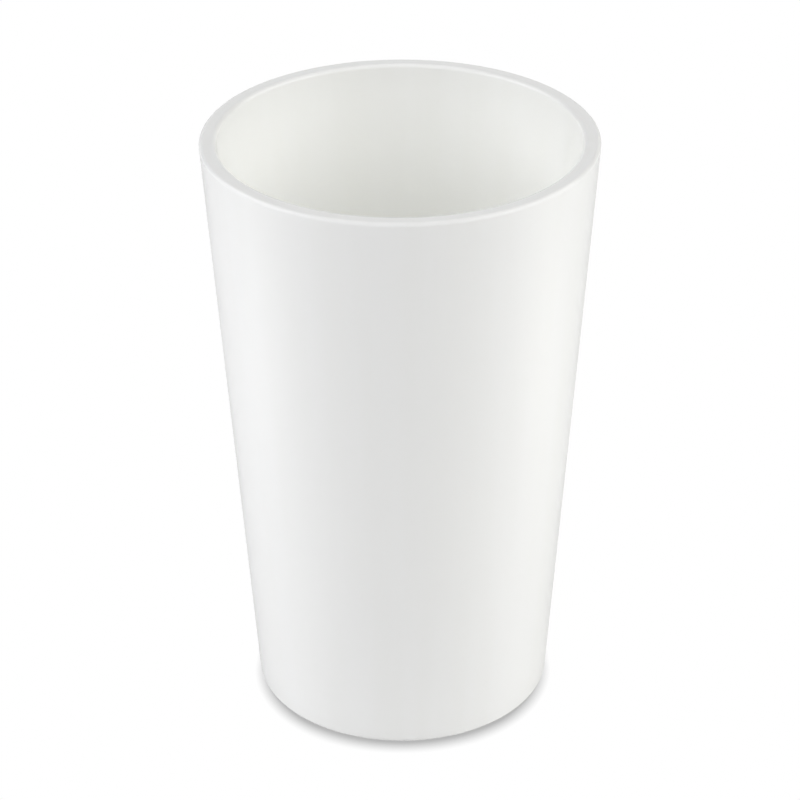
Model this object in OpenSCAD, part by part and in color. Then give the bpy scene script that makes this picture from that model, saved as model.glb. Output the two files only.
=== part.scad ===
// Tapered drinking cup, moulded in one piece from opaque white plastic.
// The origin is the centre of the circle that the cup stands on, and +Z runs up to the rim.

/* [Body] */
// Outside diameter at the rim, measured where the wall's line meets the top
rim_d = 80; // [70:1:100]
// Height from the table to the rim
height = 125; // [90:1:160]
// Outside diameter at the table, measured where the wall's line meets the table
base_d = 62; // [50:1:66]

/* [Thickness] */
// Thickness of the side wall, square to its surface
wall_t = 3.4; // [2.4:0.1:4.4]
// Thickness of the floor
floor_t = 3.6; // [2:0.1:6]

/* [Rounded edges] */
// Radius of the rim's outer edge
rim_outer_r = 0.8; // [0.3:0.1:1]
// Radius of the rim's inner edge
rim_inner_r = 0.9; // [0.3:0.1:1]
// Radius of the outer edge at the table
base_edge_r = 1; // [0.3:0.1:1.4]
// Radius of the inside corner between wall and floor
floor_corner_r = 6; // [1:0.5:12]

/* [Foot ring] */
// Width of the ring that the cup stands on, with its rounded edges
foot_w = 3.4; // [2.8:0.1:6]
// Height of the ring, which is the depth of the hollow inside it
foot_h = 1.2; // [1:0.1:2.5]
// Lean of the ring's inner side, so that it leaves the mould
foot_draft = 8; // [1:1:20]
// Radius of the ring's inner edge
foot_edge_r = 0.5; // [0.2:0.1:0.6]
// Radius of the corner between the ring and the underside
foot_corner_r = 0.3; // [0.1:0.05:0.35]

/* [Gate mark] */
// Diameter of the round well that the plastic was injected through, at the centre of the underside
gate_d = 8; // [5:0.5:14]
// Depth of the well
gate_depth = 0.6; // [0.35:0.05:1]
// Radius of the well's edge and of its corner
gate_edge_r = 0.15; // [0.05:0.05:0.15]
// Diameter of the broken-off stub in the well
stub_d = 1.8; // [1:0.1:3]
// Height of the stub
stub_h = 0.35; // [0.1:0.05:0.8]

/* [Hidden] */

// Straight steps in each rounded edge, and segments round the cup
arc_steps = 10;
turn_fn = 180;

// Lean of the wall from upright, and the wall's thickness measured level
wall_lean = atan((rim_d - base_d) / 2 / height);
wall_level = wall_t / cos(wall_lean);

// Height of the floor's upper face, and of the well's ceiling
floor_z = foot_h + floor_t;
gate_z = foot_h + gate_depth;

// Radius of the ring's inner side at the table and up at the underside
foot_inner_radius = base_d / 2 - foot_w;
hollow_radius = foot_inner_radius - foot_h * tan(foot_draft);

// Radius of the outer and of the inner face of the wall at a height
function outer_radius(z) = base_d / 2 + z * tan(wall_lean);
function inner_radius(z) = outer_radius(z) - wall_level;

function unit(v) = v / norm(v);

// Turn from one direction to another by the shorter way, from -180 to 180 degrees
function shorter_turn(from, to) = (to - from + 540) % 360 - 180;

// Points of the arc of a radius that touches both sides of a corner, or the corner itself for radius 0
function corner_arc(before, corner, after, radius) =
    radius == 0 ? [corner] :
    let (
        to_before = unit(before - corner),
        to_after = unit(after - corner),
        half_angle = acos(to_before * to_after) / 2,
        centre = corner + unit(to_before + to_after) * radius / sin(half_angle),
        reach = radius / tan(half_angle),
        start = corner + to_before * reach - centre,
        end = corner + to_after * reach - centre,
        start_angle = atan2(start[1], start[0]),
        turn = shorter_turn(start_angle, atan2(end[1], end[0]))
    )
    [for (step = [0 : arc_steps])
        let (angle = start_angle + turn * step / arc_steps)
        centre + radius * [cos(angle), sin(angle)]];

// Outline with each corner rounded, from a list of [point, radius]
function rounded(corners) =
    let (count = len(corners))
    [for (i = [0 : count - 1])
        each corner_arc(
            corners[(i + count - 1) % count][0],
            corners[i][0],
            corners[(i + 1) % count][0],
            corners[i][1]
        )];

// Half section of the cup, as [[distance from the axis, height], radius]
underside = [
    [[0, gate_z - stub_h], 0],
    [[stub_d / 2, gate_z - stub_h], 0],
    [[stub_d / 2, gate_z], 0],
    [[gate_d / 2, gate_z], gate_edge_r],
    [[gate_d / 2, foot_h], gate_edge_r],
    [[hollow_radius, foot_h], foot_corner_r],
    [[foot_inner_radius, 0], foot_edge_r]
];
outside = [
    [[outer_radius(0), 0], base_edge_r],
    [[outer_radius(height), height], rim_outer_r]
];
inside = [
    [[inner_radius(height), height], rim_inner_r],
    [[inner_radius(floor_z), floor_z], floor_corner_r],
    [[0, floor_z], 0]
];

module cup() {
    color("white")
        rotate_extrude($fn = turn_fn)
            polygon(rounded(concat(underside, outside, inside)));
}

cup();
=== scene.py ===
import math

import bpy
from mathutils import Matrix, Vector


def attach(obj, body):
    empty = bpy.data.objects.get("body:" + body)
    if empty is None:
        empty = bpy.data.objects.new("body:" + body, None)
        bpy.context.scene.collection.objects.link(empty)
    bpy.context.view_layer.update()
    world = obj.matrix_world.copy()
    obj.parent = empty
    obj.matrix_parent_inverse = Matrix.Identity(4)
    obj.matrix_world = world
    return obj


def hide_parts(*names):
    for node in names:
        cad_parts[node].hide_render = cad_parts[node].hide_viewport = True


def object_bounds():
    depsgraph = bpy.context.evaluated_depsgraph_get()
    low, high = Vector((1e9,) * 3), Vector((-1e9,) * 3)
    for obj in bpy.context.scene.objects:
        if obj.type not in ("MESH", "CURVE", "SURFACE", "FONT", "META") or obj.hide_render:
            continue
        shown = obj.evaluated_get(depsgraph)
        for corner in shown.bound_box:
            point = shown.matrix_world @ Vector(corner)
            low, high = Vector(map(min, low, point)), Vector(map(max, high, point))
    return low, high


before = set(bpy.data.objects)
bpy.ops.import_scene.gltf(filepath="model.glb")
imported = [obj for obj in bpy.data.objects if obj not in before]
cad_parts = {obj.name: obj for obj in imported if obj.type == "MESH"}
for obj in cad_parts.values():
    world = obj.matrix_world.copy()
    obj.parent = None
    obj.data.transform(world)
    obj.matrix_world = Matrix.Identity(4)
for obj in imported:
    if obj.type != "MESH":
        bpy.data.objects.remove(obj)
cad_low, cad_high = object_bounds()

MM = 0.001

# The cup's section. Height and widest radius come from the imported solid.
HEIGHT = cad_high.z
WIDEST_RADIUS = min(-cad_low.x, -cad_low.y, cad_high.x, cad_high.y)
BASE_RADIUS = 31 * MM
WALL = 3.4 * MM
BOTTOM = 3.6 * MM
RIM_OUTER_EDGE = 0.8 * MM
RIM_INNER_EDGE = 0.9 * MM
BASE_EDGE = 1 * MM
BOTTOM_CORNER = 6 * MM
FOOT_WIDTH = 3.4 * MM
FOOT_HEIGHT = 1.2 * MM
FOOT_DRAFT = math.radians(8)
FOOT_EDGE = 0.5 * MM
FOOT_CORNER = 0.3 * MM
GATE_RADIUS = 4 * MM
GATE_DEPTH = 0.6 * MM
GATE_EDGE = 0.15 * MM
STUB_RADIUS = 0.9 * MM
STUB_HEIGHT = 0.35 * MM
STUB_EDGE = 0.08 * MM

# Fineness of the mesh: segments round the cup, steps in each rounded edge, and the longest step on a
# straight side
SEGMENTS = 320
EDGE_STEPS = 10
LONGEST_STEP = 2 * MM

# The white of the plastic, and the slightly creamier white of the streaks in which it flowed up the mould
PLASTIC_WHITE = (0.963, 0.965, 0.948, 1)
STREAK_WHITE = (0.957, 0.959, 0.938, 1)
PLASTIC_IOR = 1.47

# The two finishes of the mould, and the height of the ripple in each: polished on the wall, the rim and the
# inside, and satin under the cup
POLISHED = {"Roughness": 0.2, "Haze": 0.06, "Rub Roughness": 0.45}
SATIN = {"Roughness": 0.38, "Haze": 0.1, "Rub Roughness": 0.6}
POLISHED_RIPPLE = 0.004 * MM
SATIN_RIPPLE = 0.02 * MM

# The moulded skin: how close the streaks lie round the cup and up it, how close the haze, the fine ripple
# and the broad ripple lie, how much the broad ripple counts beside the fine one, and where in their noise
# the streaks and the haze begin and are whole
STREAKS_ROUND = 6
STREAKS_UP = 9
HAZE_SCALE = 40
FINE_RIPPLE_SCALE = 420
BROAD_RIPPLE_SCALE = 90
BROAD_RIPPLE_SHARE = 1.5
STREAK_RANGE = (0.35, 0.65)
HAZE_RANGE = (0.4, 0.7)

# The marks that tables leave on the foot: how high they reach, how close they lie, how far they are drawn
# out, which way they run, and where in their noise they begin and are whole
RUB_HEIGHT = 0.6 * MM
SCRATCH_SCALE = 300
SCRATCH_DRAW = 9
SCRATCH_TURN = 0.6
SCRATCH_RANGE = (0.42, 0.6)

# The sockets of a Mix node that mixes colours: share, first colour, second colour and result
MIX_SHARE, MIX_FIRST, MIX_SECOND, MIX_RESULT = 0, 6, 7, 2

# The view: where the camera looks, from how far, how steeply down, and how far it leans, and the width of
# its sensor and the length of its lens in millimetres
AIM = Vector((-0.28 * MM, 0, 65.03 * MM))
DISTANCE = 617.2 * MM
CAMERA_ELEVATION = math.radians(29.215)
CAMERA_LEAN = math.radians(0.315)
SENSOR = 36.0
LENS = 133.29

# The softboxes, and the two small panels that stand close beside the cup: azimuth (0 is the camera's side,
# 90 the right) and elevation in degrees, distance, width and height in metres, power in watts, and colour
COOL, WARM, NEUTRAL = (0.997, 1, 1.025), (1.002, 1, 0.988), (1, 1, 1.015)
SOFTBOXES = {
    "softbox_left": (-85, 34, 1.0, 1.2, 0.7, 6.7, COOL),
    "softbox_right": (85, 34, 1.0, 1.2, 0.7, 6.7, WARM),
    "softbox_front": (0, 43, 1.1, 1.8, 1.0, 5.5, NEUTRAL),
    "softbox_back": (180, 14, 1.0, 1.4, 0.4, 1.3, NEUTRAL),
}
PANELS = {
    "panel_left": (-75, -4, 0.17, 0.16, 0.11, 0.037, COOL),
    "panel_right": (75, -4, 0.17, 0.16, 0.11, 0.042, WARM),
}

# The two narrow beams along the cup's axis, one down into the cup and one up at its underside: height of
# the lamp over the table and its radius in metres, its spread in degrees, and its power in watts
BEAMS = {
    "beam_inside": (0.6, 0.024, 1.5, 0.001),
    "beam_under": (-0.5, 0.045, 1.5, 0.0032),
}

# The studio: half the width of its floor, the grey of the floor to the lamps, the hair's breadth that the
# floor lies below the foot, the light from all round, and how often light goes on from one pale surface to
# the next, which fills the inside of the cup
FLOOR_HALF = 3.0
FLOOR_GREY = 0.75
FLOOR_DROP = 0.02 * MM
AMBIENT = 0.03
LIGHT_BOUNCES = 32

# The floor in the cup's gloss: its brightness, and the soft pools of light beside the cup, with their
# centre on the right, their bright radius, their whole radius, and the brightness that they add
FLOOR_IN_GLOSS = 0.58
POOL_CENTRE = (180 * MM, -15 * MM, 0)
POOL_BRIGHT = 30 * MM
POOL_WHOLE = 95 * MM
POOL_GAIN = 0.4

# The shadow on the floor close round the foot: how far it reaches and how deep it is at the sides, what
# each gains toward the camera, the most light that it takes away, and how many rays look for it
SHADOW_REACH = 1.2 * MM
SHADOW_REACH_GAIN = 2.8 * MM
SHADOW_DEPTH = 0.25
SHADOW_DEPTH_GAIN = 1.0
SHADOW_DARKEST = 0.53
SHADOW_RAYS = 16


def new_object(name, data):
    """A mesh, a lamp or a camera as an object of the scene."""
    made = bpy.data.objects.new(name, data)
    bpy.context.scene.collection.objects.link(made)
    return made


# Shape

def rounded_corner(before, corner, after, radius):
    """The arc that rounds a corner, as (point, normal) pairs, with the normals to the right of the way."""
    to_before = (before - corner).normalized()
    to_after = (after - corner).normalized()
    half_angle = math.acos(max(-1.0, min(1.0, to_before.dot(to_after)))) / 2
    middle = (to_before + to_after).normalized()
    centre = corner + middle * radius / math.sin(half_angle)
    start = corner + to_before * radius / math.tan(half_angle) - centre
    turn = math.pi - 2 * half_angle
    side = 1 if (corner - before).cross(after - corner) > 0 else -1
    pairs = []
    for step in range(EDGE_STEPS + 1):
        spoke = Matrix.Rotation(side * turn * step / EDGE_STEPS, 2) @ start
        pairs.append((centre + spoke, spoke.normalized() * side))
    return pairs


def split_straight(start, end):
    """Points between two ends of a straight side, so that no step is longer than the longest."""
    (a, normal_a), (b, normal_b) = start, end
    steps = max(1, math.ceil((b - a).length / LONGEST_STEP))
    shares = [i / steps for i in range(1, steps)]
    return [(a.lerp(b, share), normal_a.lerp(normal_b, share).normalized()) for share in shares]


def wall_slope():
    """The wall's run outward for each unit of height, and the radius at which its line meets the top."""
    lean = math.atan((WIDEST_RADIUS - BASE_RADIUS) / (HEIGHT - RIM_OUTER_EDGE))
    rim_radius = WIDEST_RADIUS + RIM_OUTER_EDGE * (math.tan(lean) + 1 / math.cos(lean) - 1)
    return (rim_radius - BASE_RADIUS) / HEIGHT, rim_radius


def section_corners():
    """Corners of the half section, as (radius, height, rounding), and how many lie under the cup."""
    slope, rim_radius = wall_slope()
    wall_level = WALL * math.sqrt(1 + slope * slope)
    bottom_z = FOOT_HEIGHT + BOTTOM
    gate_z = FOOT_HEIGHT + GATE_DEPTH
    foot_inner = BASE_RADIUS - FOOT_WIDTH
    hollow = foot_inner - FOOT_HEIGHT * math.tan(FOOT_DRAFT)
    under = [
        (0, gate_z - STUB_HEIGHT, 0),
        (STUB_RADIUS, gate_z - STUB_HEIGHT, STUB_EDGE),
        (STUB_RADIUS, gate_z, STUB_EDGE),
        (GATE_RADIUS, gate_z, GATE_EDGE),
        (GATE_RADIUS, FOOT_HEIGHT, GATE_EDGE),
        (hollow, FOOT_HEIGHT, FOOT_CORNER),
        (foot_inner, 0, FOOT_EDGE),
    ]
    over = [
        (BASE_RADIUS, 0, BASE_EDGE),
        (rim_radius, HEIGHT, RIM_OUTER_EDGE),
        (rim_radius - wall_level, HEIGHT, RIM_INNER_EDGE),
        (BASE_RADIUS + bottom_z * slope - wall_level, bottom_z, BOTTOM_CORNER),
        (0, bottom_z, 0),
    ]
    return under + over, len(under)


def cup_section():
    """Half section from the axis under the cup, out, up, over the rim and back to the axis inside.

    It comes as (point, normal) pairs, with the number of them that lie under the cup.
    """
    corners, under_count = section_corners()
    points = [Vector((x, z)) for x, z, _ in corners]
    section = [(points[0], Vector((0, -1)))]
    under_end = 0
    for i in range(1, len(points) - 1):
        arc = rounded_corner(points[i - 1], points[i], points[i + 1], corners[i][2])
        section += split_straight(section[-1], arc[0])
        if i == under_count:
            under_end = len(section)
        section += arc
    last = (points[-1], Vector((0, 1)))
    return section + split_straight(section[-1], last) + [last], under_end


def turned_points(section):
    """Vertices and their normals, ring by ring, with the two poles last."""
    vertices, normals = [], []
    for point, normal in section[1:-1]:
        for k in range(SEGMENTS):
            turn = 2 * math.pi * k / SEGMENTS
            out = Vector((math.cos(turn), math.sin(turn), 0))
            vertices.append(out * point.x + Vector((0, 0, point.y)))
            normals.append(out * normal.x + Vector((0, 0, normal.y)))
    for point, normal in (section[0], section[-1]):
        vertices.append(Vector((0, 0, point.y)))
        normals.append(Vector((0, 0, normal.y)))
    return vertices, normals


def turned_faces(ring_count):
    """Faces from the first pole, ring by ring, to the last pole, in rows of one face a segment."""
    first_pole = ring_count * SEGMENTS
    top = first_pole - SEGMENTS
    faces = [(first_pole, (k + 1) % SEGMENTS, k) for k in range(SEGMENTS)]
    for ring in range(ring_count - 1):
        for k in range(SEGMENTS):
            a = ring * SEGMENTS + k
            b = ring * SEGMENTS + (k + 1) % SEGMENTS
            faces.append((a, b, b + SEGMENTS, a + SEGMENTS))
    return faces + [(first_pole + 1, top + k, top + (k + 1) % SEGMENTS) for k in range(SEGMENTS)]


def turned_mesh(name, section, under_end):
    """Mesh of a section turned about the Z axis, with the section's own normals and two finishes."""
    vertices, normals = turned_points(section)
    faces = turned_faces(len(section) - 2)
    mesh = bpy.data.meshes.new(name)
    mesh.from_pydata(vertices, [], faces)
    mesh.polygons.foreach_set("use_smooth", [True] * len(faces))
    mesh.polygons.foreach_set("material_index", [int(i < under_end * SEGMENTS) for i in range(len(faces))])
    mesh.normals_split_custom_set_from_vertices(normals)
    return mesh


# Finish

def add_node(tree, kind, inputs=None, **settings):
    """A shader node with its settings, and with each named input set to a value or linked to an output."""
    made = tree.nodes.new("ShaderNode" + kind)
    for name, value in settings.items():
        setattr(made, name, value)
    for name, value in (inputs or {}).items():
        if isinstance(value, bpy.types.NodeSocket):
            tree.links.new(value, made.inputs[name])
        else:
            made.inputs[name].default_value = value
    return made


def number(tree, operation, a, b=0.0, c=0.0, clamp=False):
    """The result of a sum on up to three numbers."""
    return add_node(tree, "Math", {0: a, 1: b, 2: c}, operation=operation, use_clamp=clamp).outputs[0]


def vector(tree, operation, a, b=(0, 0, 0), c=(0, 0, 0)):
    """The result of a sum on up to three vectors, as a vector."""
    return add_node(tree, "VectorMath", {0: a, 1: b, 2: c}, operation=operation).outputs["Vector"]


def length(tree, operation, a, b=(0, 0, 0)):
    """The result of a sum on up to two vectors, as a number."""
    return add_node(tree, "VectorMath", {0: a, 1: b}, operation=operation).outputs["Value"]


def place_on(tree):
    """The place of the shaded point, in metres from the origin."""
    return add_node(tree, "TexCoord").outputs["Object"]


def noise(tree, place, scale, detail=2.0):
    """Noise from 0 to 1."""
    return add_node(tree, "TexNoise", {"Vector": place, "Scale": scale, "Detail": detail}).outputs["Fac"]


def between(tree, value, low, high):
    """0 up to the low value, 1 from the high value, and a smooth rise between them."""
    values = {"Value": value, "From Min": low, "From Max": high}
    return add_node(tree, "MapRange", values, interpolation_type="SMOOTHSTEP").outputs["Result"]


def new_group(name, inputs, outputs):
    """An empty node group, with its input node and output node."""
    group = bpy.data.node_groups.new(name, "ShaderNodeTree")
    for label, kind in inputs.items():
        group.interface.new_socket(label, in_out="INPUT", socket_type="NodeSocket" + kind)
    for label, kind in outputs.items():
        group.interface.new_socket(label, in_out="OUTPUT", socket_type="NodeSocket" + kind)
    return group, group.nodes.new("NodeGroupInput").outputs, group.nodes.new("NodeGroupOutput").inputs


def flow_streaks(tree, place):
    """Where the plastic's streaks of flow lie, drawn out up the cup and even round it."""
    outward = vector(tree, "NORMALIZE", vector(tree, "MULTIPLY", place, (1, 1, 0)))
    upward = vector(tree, "MULTIPLY", place, (0, 0, STREAKS_UP))
    flow = vector(tree, "MULTIPLY_ADD", outward, (STREAKS_ROUND, STREAKS_ROUND, STREAKS_ROUND), upward)
    return between(tree, noise(tree, flow, 1), *STREAK_RANGE)


def moulded_skin():
    """Skin of moulded plastic: streaks of flow in its colour, haze in its gloss, ripple in its surface."""
    group, given, result = new_group(
        "moulded_skin",
        {"Colour": "Color", "Streak Colour": "Color", "Roughness": "Float", "Haze": "Float"},
        {"Colour": "Color", "Roughness": "Float", "Height": "Float"},
    )
    place = place_on(group)
    mix = {
        MIX_SHARE: flow_streaks(group, place),
        MIX_FIRST: given["Colour"],
        MIX_SECOND: given["Streak Colour"],
    }
    colour = add_node(group, "Mix", mix, data_type="RGBA").outputs[MIX_RESULT]
    haze = between(group, noise(group, place, HAZE_SCALE, detail=3), *HAZE_RANGE)
    roughness = number(group, "MULTIPLY_ADD", haze, given["Haze"], given["Roughness"])
    fine = noise(group, place, FINE_RIPPLE_SCALE, detail=1)
    broad = noise(group, place, BROAD_RIPPLE_SCALE, detail=0)
    height = number(group, "MULTIPLY_ADD", broad, BROAD_RIPPLE_SHARE, fine)
    group.links.new(colour, result["Colour"])
    group.links.new(roughness, result["Roughness"])
    group.links.new(height, result["Height"])
    return group


def table_rub():
    """Fine scratches that tables leave on the foot, thickest at the very bottom."""
    group, given, result = new_group(
        "table_rub",
        {"Roughness": "Float", "Rub Roughness": "Float"},
        {"Roughness": "Float"},
    )
    place = place_on(group)
    height = add_node(group, "SeparateXYZ", {0: place}).outputs["Z"]
    low = number(group, "SUBTRACT", 1.0, between(group, height, 0.0, RUB_HEIGHT))
    slide = {"Vector": place, "Rotation": (0, 0, SCRATCH_TURN), "Scale": (1, SCRATCH_DRAW, 1)}
    scratch = noise(group, add_node(group, "Mapping", slide).outputs["Vector"], SCRATCH_SCALE, detail=3)
    mask = number(group, "MULTIPLY", low, between(group, scratch, *SCRATCH_RANGE))
    change = number(group, "SUBTRACT", given["Rub Roughness"], given["Roughness"])
    group.links.new(number(group, "MULTIPLY_ADD", mask, change, given["Roughness"]), result["Roughness"])
    return group


def moulded_plastic(name, finish, ripple, skin, rub):
    """White plastic with one of the mould's finishes."""
    material = bpy.data.materials.new(name)
    material.use_nodes = True
    tree = material.node_tree
    look = {
        "Colour": PLASTIC_WHITE,
        "Streak Colour": STREAK_WHITE,
        "Roughness": finish["Roughness"],
        "Haze": finish["Haze"],
    }
    surface = add_node(tree, "Group", look, node_tree=skin).outputs
    wear = {"Roughness": surface["Roughness"], "Rub Roughness": finish["Rub Roughness"]}
    rubbed = add_node(tree, "Group", wear, node_tree=rub).outputs["Roughness"]
    bump = add_node(tree, "Bump", {"Height": surface["Height"], "Distance": ripple}).outputs["Normal"]
    shader = tree.nodes["Principled BSDF"].inputs
    shader["IOR"].default_value = PLASTIC_IOR
    tree.links.new(surface["Colour"], shader["Base Color"])
    tree.links.new(rubbed, shader["Roughness"])
    tree.links.new(bump, shader["Normal"])
    return material


def make_cup():
    """The cup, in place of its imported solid."""
    section, under_end = cup_section()
    cup = new_object("cup_body", turned_mesh("cup_body", section, under_end))
    skin, rub = moulded_skin(), table_rub()
    cup.data.materials.append(moulded_plastic("polished_white", POLISHED, POLISHED_RIPPLE, skin, rub))
    cup.data.materials.append(moulded_plastic("satin_white", SATIN, SATIN_RIPPLE, skin, rub))
    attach(cup, "root")
    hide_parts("cup")


# Studio

def make_camera():
    """The camera, at the photograph's viewing angle."""
    camera = new_object("camera", bpy.data.cameras.new("camera"))
    camera.data.sensor_width = SENSOR
    camera.data.lens = LENS
    back = Vector((0, -math.cos(CAMERA_ELEVATION), math.sin(CAMERA_ELEVATION)))
    level_right = Vector((1, 0, 0))
    level_up = back.cross(level_right)
    up = level_up * math.cos(CAMERA_LEAN) + level_right * math.sin(CAMERA_LEAN)
    right = up.cross(back)
    turned = Matrix((right, up, back)).transposed()
    camera.matrix_world = Matrix.Translation(AIM + back * DISTANCE) @ turned.to_4x4()
    bpy.context.scene.camera = camera


def contact_shadow(tree):
    """How bright the floor stays: 1 in the open, and less close to the foot, most so toward the camera."""
    away = add_node(tree, "SeparateXYZ", {0: place_on(tree)}).outputs["Y"]
    toward = number(tree, "MULTIPLY", away, -1 / BASE_RADIUS, clamp=True)
    reach = number(tree, "MULTIPLY_ADD", toward, SHADOW_REACH_GAIN, SHADOW_REACH)
    depth = number(tree, "MULTIPLY_ADD", toward, SHADOW_DEPTH_GAIN, SHADOW_DEPTH, clamp=True)
    lit = add_node(tree, "AmbientOcclusion", {"Distance": reach}, samples=SHADOW_RAYS).outputs["AO"]
    hidden = number(tree, "SUBTRACT", 1.0, lit)
    shade = number(tree, "MINIMUM", number(tree, "MULTIPLY", hidden, depth), SHADOW_DARKEST)
    return number(tree, "SUBTRACT", 1.0, shade)


def floor_in_gloss(tree):
    """How bright the floor is in the cup's gloss: even, with a soft pool of light on each side."""
    one_side = vector(tree, "ABSOLUTE", place_on(tree))
    outside = between(tree, length(tree, "DISTANCE", one_side, POOL_CENTRE), POOL_BRIGHT, POOL_WHOLE)
    return number(tree, "MULTIPLY_ADD", outside, -POOL_GAIN, FLOOR_IN_GLOSS + POOL_GAIN)


def floor_top(tree, path):
    """White to the camera but for the cup's shadow, grey in the gloss, and a plain pale floor to lamps."""
    seen = number(tree, "MAXIMUM", path["Is Camera Ray"], path["Is Transmission Ray"])
    shown = number(tree, "MAXIMUM", seen, path["Is Glossy Ray"])
    dimmer = number(tree, "SUBTRACT", floor_in_gloss(tree), 1.0)
    strength = number(tree, "MULTIPLY_ADD", path["Is Glossy Ray"], dimmer, 1.0)
    glow = add_node(tree, "Emission", {"Color": contact_shadow(tree), "Strength": strength}).outputs[0]
    lit = add_node(tree, "BsdfDiffuse", {"Color": (FLOOR_GREY, FLOOR_GREY, FLOOR_GREY, 1)}).outputs[0]
    return add_node(tree, "MixShader", {0: shown, 1: lit, 2: glow}).outputs[0]


def floor_open(tree, path):
    """1 where the floor is clear: to a camera below it, and under the foot to the lamp below it."""
    under = add_node(tree, "NewGeometry").outputs["Backfacing"]
    from_below = number(tree, "MULTIPLY", under, path["Is Camera Ray"])
    under_foot = number(tree, "LESS_THAN", length(tree, "LENGTH", place_on(tree)), BASE_RADIUS)
    lit_through = number(tree, "MULTIPLY", under_foot, path["Is Shadow Ray"])
    return number(tree, "MAXIMUM", from_below, lit_through)


def floor_white():
    """The finish of the studio's floor."""
    material = bpy.data.materials.new("floor_white")
    material.use_nodes = True
    tree = material.node_tree
    tree.nodes.clear()
    path = add_node(tree, "LightPath").outputs
    clear = add_node(tree, "BsdfTransparent").outputs[0]
    whole = add_node(tree, "MixShader", {0: floor_open(tree, path), 1: floor_top(tree, path), 2: clear})
    add_node(tree, "OutputMaterial", {"Surface": whole.outputs[0]})
    return material


def make_floor():
    """The floor that the cup stands on."""
    signs = ((-1, -1), (1, -1), (1, 1), (-1, 1))
    corners = [(x * FLOOR_HALF, y * FLOOR_HALF, -FLOOR_DROP) for x, y in signs]
    mesh = bpy.data.meshes.new("floor")
    mesh.from_pydata(corners, [], [(0, 1, 2, 3)])
    mesh.materials.append(floor_white())
    new_object("floor", mesh)


def flat_lamp(name, shape, size, power):
    """A flat lamp that the camera doesn't see."""
    lamp = bpy.data.lights.new(name, "AREA")
    lamp.shape = shape
    lamp.size = size
    lamp.energy = power
    made = new_object(name, lamp)
    made.visible_camera = False
    return made


def softbox(name, azimuth, elevation, distance, width, height, power, colour):
    """A wide lamp that faces the cup."""
    made = flat_lamp(name, "RECTANGLE", width, power)
    made.data.size_y = height
    made.data.color = colour
    a, e = math.radians(azimuth), math.radians(elevation)
    away = Vector((math.sin(a) * math.cos(e), -math.cos(a) * math.cos(e), math.sin(e)))
    made.location = AIM + away * distance
    made.rotation_euler = away.to_track_quat("Z", "Y").to_euler()
    return made


def beam(name, height, radius, spread, power):
    """A narrow lamp on the cup's axis, which shines down from above the table or up from below it."""
    made = flat_lamp(name, "DISK", 2 * radius, power)
    made.data.spread = math.radians(spread)
    made.location = (0, 0, height)
    made.rotation_euler = (0 if height > 0 else math.pi, 0, 0)
    return made


def make_lamps():
    """All the lamps. The softboxes show in the cup's gloss, and the panels and beams only light it."""
    for name, values in SOFTBOXES.items():
        softbox(name, *values)
    hidden = [softbox(name, *values) for name, values in PANELS.items()]
    hidden += [beam(name, *values) for name, values in BEAMS.items()]
    for lamp in hidden:
        lamp.visible_glossy = False


def make_world():
    """White to the camera, and a low even light on the cup."""
    world = bpy.data.worlds.new("studio")
    world.use_nodes = True
    tree = world.node_tree
    path = add_node(tree, "LightPath").outputs
    seen = number(tree, "MAXIMUM", path["Is Camera Ray"], path["Is Transmission Ray"])
    strength = number(tree, "MULTIPLY_ADD", seen, 1 - AMBIENT, AMBIENT)
    background = tree.nodes["Background"]
    background.inputs["Color"].default_value = (1, 1, 1, 1)
    tree.links.new(strength, background.inputs["Strength"])
    bpy.context.scene.world = world


make_cup()
make_camera()
make_floor()
make_lamps()
make_world()
bpy.context.scene.cycles.max_bounces = LIGHT_BOUNCES
bpy.context.scene.cycles.diffuse_bounces = LIGHT_BOUNCES
bpy.context.scene.view_settings.view_transform = "Standard"
